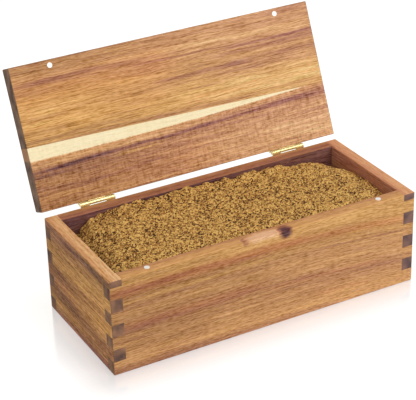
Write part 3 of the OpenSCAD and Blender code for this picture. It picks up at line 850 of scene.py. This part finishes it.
def spice_paint(look):
    """Ground spice: golden-brown grains that differ one by one and a few pale specks, with painted
    shade in the pits between grains and painted light on the highest grains. The mesh's own
    `relief` says how high a place stands among its grains, and lightens the high places and darkens
    the low."""
    paint = Paint("spice_grains")
    relief = paint.node("ShaderNodeAttribute", {"attribute_name": "relief"}, None, "Fac")
    cells = paint.node("ShaderNodeTexVoronoi", {"feature": "F1"},
                       {"Vector": paint.in_cells(1.15), "Scale": 1.0}, "Color")
    each = paint.channels(cells)[0]
    cloudy = paint.noise(paint.in_cells(7), 3.0)
    fine = paint.noise(paint.in_cells(0.75), 1.0)
    shaded_pits = abs(paint.noise(paint.in_cells(1.3), 1.0)).rise(0.05, 0.0)
    # Painted shade and light: relief lightens high grains and darkens low ones, and the pits are
    # darkened lines between grains; each, cloudy and fine are the grains' own colour.
    shade = (each - 0.5) * 1.2 + relief * 1.15 + cloudy * 0.15 + fine * 2.2 - shaded_pits * 0.75 + 0.2
    colour = paint.ramp(shade, [(0.0, look.pit_shade), (0.2, SPICE_SHADE), (0.42, look.body),
                                (0.72, SPICE_LIGHT), (1.0, look.speck_and_highlight)])
    return paint.surface(colour, 0.85, paint.bump(fine, 0.6, 0.25), 0.0,
                         {"Specular IOR Level": SPICE_SHEEN})


class SPICEBOX_OT_stage(bpy.types.Operator):
    """Adds the camera, the lamps, the white surroundings and the floor"""
    bl_idname = "spicebox.stage"
    bl_label = "Stage"

    def execute(self, context):
        look = context.scene.spicebox_stage
        add_camera(look)
        add_lamps(look)
        add_floor(look)
        context.scene.view_settings.view_transform = "Standard"
        return {"FINISHED"}


# Where the photograph was taken from, found from the straight edges of the box and the lid:
# azimuth, elevation and roll in degrees, the point aimed at in millimetres, and how far the
# camera stands from it in metres.
CAMERA_ANGLES = (-28.255, 27.801, -1.617)
CAMERA_TARGET = (-19.15, 0.0, 84.258)
CAMERA_DISTANCE = 1.13455


def add_camera(look):
    """Stands the camera where the photograph was taken from, with the picture's slight roll."""
    azimuth, elevation, roll = (math.radians(angle) for angle in CAMERA_ANGLES)
    target = Vector(CAMERA_TARGET) * MM
    back = Vector((math.sin(azimuth) * math.cos(elevation),
                   -math.cos(azimuth) * math.cos(elevation), math.sin(elevation)))
    right = (-back).cross(Vector(Z)).normalized()
    up = back.cross(right)
    across = right * math.cos(roll) + up * math.sin(roll)
    upward = up * math.cos(roll) - right * math.sin(roll)
    data = bpy.data.cameras.new("camera")
    data.lens, data.sensor_width, data.sensor_fit = look.lens, 36.0, "HORIZONTAL"
    data.clip_start, data.clip_end = 0.05, 30.0
    camera = bpy.data.objects.new("camera", data)
    turn = Matrix((across, upward, back)).transposed().to_4x4()
    camera.matrix_world = Matrix.Translation(target + back * CAMERA_DISTANCE) @ turn
    bpy.context.scene.collection.objects.link(camera)
    bpy.context.scene.camera = camera


# Places and sides of the two square lamps, and the point that both face, in metres.
KEY_PLACE, KEY_SIDE = (0.45, -1.1, 0.95), 0.9
FILL_PLACE, FILL_SIDE = (-1.2, -0.3, 0.7), 0.8
LAMP_TARGET = Vector((0.0, 0.0, 0.06))


def add_lamp(name, power, side, place):
    """A soft square lamp that points at the box."""
    data = bpy.data.lights.new(name, "AREA")
    data.shape, data.size, data.energy = "SQUARE", side, power
    lamp = bpy.data.objects.new(name, data)
    lamp.location = place
    lamp.rotation_euler = (LAMP_TARGET - Vector(place)).to_track_quat("-Z", "Y").to_euler()
    bpy.context.scene.collection.objects.link(lamp)


def add_lamps(look):
    """Both lamps, and surroundings that look white but light the object less than that."""
    add_lamp("key_lamp", look.key_power, KEY_SIDE, KEY_PLACE)
    add_lamp("fill_lamp", look.fill_power, FILL_SIDE, FILL_PLACE)
    paint = Paint("surroundings", bpy.data.worlds)
    strength = paint.looked_at() * (1.0 - look.sky) + look.sky
    sky = paint.node("ShaderNodeBackground", None, {"Color": WHITE, "Strength": strength})
    bpy.context.scene.world = paint.finish(sky, "ShaderNodeOutputWorld")


# The floor lies this far under the box's feet. Its reflection fades out at the first of these
# distances from the walls and would be whole at the second, all in millimetres.
FLOOR_DROP = 0.15
REFLECTION_END, REFLECTION_START = 48.0, -24.0
REFLECTION_SHARE = 0.56
# The reflection's warm tint is painted: it turns the floor near the box peach, standing in for warm
# light bounced from the wood.
REFLECTION_AND_BOUNCE_TINT = (1.0, 0.9, 0.8, 1.0)
PAPER, SHADED = srgb("e8e7e4"), (0.36, 0.36, 0.36, 1.0)
FLOOR_GLOW = 0.86


def add_floor(look):
    """A white sheet that shows a faint reflection close to the box, fading away from it, tinted
    peach there as painted warm bounce light from the wood. What is looked at is nearly white of
    itself, so that only the deepest shadow shows, and light that only falls on it meets plain
    paper. It can't be seen from below."""
    paint = Paint("studio_floor")
    x, y = paint.along(X), paint.along(Y)
    out_x = (abs(x) - HALF_LENGTH).high(0.0)
    out_y = (abs(y) - HALF_WIDTH).high(0.0)
    away = (out_x * out_x + out_y * out_y) ** 0.5
    seen = paint.looked_at()
    paper = paint.node("ShaderNodeBsdfDiffuse", None, {"Color": PAPER})
    shadowed = paint.node("ShaderNodeBsdfDiffuse", None, {"Color": SHADED})
    glow = paint.node("ShaderNodeEmission", None, {"Color": WHITE, "Strength": FLOOR_GLOW})
    white = paint.node("ShaderNodeAddShader", None, {0: shadowed, 1: glow})
    sheet = paint.node("ShaderNodeMixShader", None, {0: seen, 1: paper, 2: white})
    gloss = paint.node("ShaderNodeBsdfGlossy", None,
                       {"Color": REFLECTION_AND_BOUNCE_TINT, "Roughness": 0.13})
    shine = away.rise(REFLECTION_END, REFLECTION_START) * REFLECTION_SHARE
    top = paint.node("ShaderNodeMixShader", None, {0: shine, 1: sheet, 2: gloss})
    below = paint.node("ShaderNodeNewGeometry", None, None, "Backfacing")
    clear = paint.node("ShaderNodeBsdfTransparent")
    material = paint.finish(paint.node("ShaderNodeMixShader", None, {0: below, 1: top, 2: clear}))
    half = look.floor_size / 2
    z = -FLOOR_DROP * MM
    corners = [(-half, -half, z), (half, -half, z), (half, half, z), (-half, half, z)]
    floor = add_mesh("studio_floor", corners, [(0, 1, 2, 3)], material)


class SPICEBOX_OT_boards(bpy.types.Operator):
    """Gives each wall board, the bottom panel and both lid boards its own acacia"""
    bl_idname = "spicebox.boards"
    bl_label = "Acacia boards"

    def execute(self, context):
        look = context.scene.spicebox_wood
        for node, board in BOARDS.items():
            dress(node, acacia("acacia_" + node, board, look))
        return {"FINISHED"}


class SPICEBOX_OT_hinges(bpy.types.Operator):
    """Gives both hinges, their pins and their screws brass"""
    bl_idname = "spicebox.hinges"
    bl_label = "Brass hinges"

    def execute(self, context):
        look = context.scene.spicebox_metal
        rolled, turned = brass(look), screw_metal(look)
        for side in ("left", "right"):
            for part in ("box_leaf", "lid_leaf", "pin"):
                dress(f"{side}_hinge_{part}", rolled)
            for part in ("box_screws", "lid_screws"):
                dress(f"{side}_hinge_{part}", turned)
        return {"FINISHED"}


class SPICEBOX_OT_magnets(bpy.types.Operator):
    """Gives the four magnets their nickel plating"""
    bl_idname = "spicebox.magnets"
    bl_label = "Magnets"

    def execute(self, context):
        nickel = plating(context.scene.spicebox_metal)
        for node in NODES:
            if node.endswith("_magnet"):
                dress(node, nickel)
        return {"FINISHED"}


class SPICEBOX_OT_spice(bpy.types.Operator):
    """Fills the compartment with a heap of ground spice"""
    bl_idname = "spicebox.spice"
    bl_label = "Ground spice"

    def execute(self, context):
        look = context.scene.spicebox_spice
        x, y, z, relief = spice_surface(look)
        points, faces = closed_heap(x, y, z, PANEL_TOP + 0.1)
        heap = add_mesh("ground_spice", points, faces, spice_paint(look))
        # The relief attribute carries painted shade and light: the paint darkens low places and
        # lightens high ones.
        values = np.zeros(len(points), np.float32)
        values[:relief.size] = np.clip(relief.reshape(-1) * 0.5 + 0.5, 0, 1)
        heap.data.attributes.new("relief", "FLOAT", "POINT").data.foreach_set("value", values)
        heap.data.polygons.foreach_set("use_smooth", np.ones(len(heap.data.polygons), bool))
        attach(heap, "box")
        return {"FINISHED"}


class SPICEBOX_PT_panel(bpy.types.Panel):
    """Lists the operators that dress the box"""
    bl_idname = "SPICEBOX_PT_panel"
    bl_label = "Spice Box"
    bl_space_type = "VIEW_3D"
    bl_region_type = "UI"
    bl_category = "Spice Box"

    def draw(self, context):
        for operator in OPERATORS:
            self.layout.operator(operator.bl_idname)


OPERATORS = (SPICEBOX_OT_stage, SPICEBOX_OT_boards, SPICEBOX_OT_hinges, SPICEBOX_OT_magnets,
             SPICEBOX_OT_spice)
LOOKS = {"spicebox_wood": WoodLook, "spicebox_metal": MetalLook, "spicebox_spice": SpiceLook,
         "spicebox_stage": StageLook}


def register():
    for look in LOOKS.values():
        bpy.utils.register_class(look)
    for part in OPERATORS + (SPICEBOX_PT_panel,):
        bpy.utils.register_class(part)
    for name, look in LOOKS.items():
        setattr(bpy.types.Scene, name, bpy.props.PointerProperty(type=look))


def unregister():
    for name in LOOKS:
        delattr(bpy.types.Scene, name)
    for part in (SPICEBOX_PT_panel,) + OPERATORS[::-1] + tuple(LOOKS.values()):
        bpy.utils.unregister_class(part)


def main():
    register()
    bpy.ops.spicebox.stage()
    bpy.ops.spicebox.boards()
    bpy.ops.spicebox.hinges()
    bpy.ops.spicebox.magnets()
    bpy.ops.spicebox.spice()


if __name__ == "__main__":
    main()
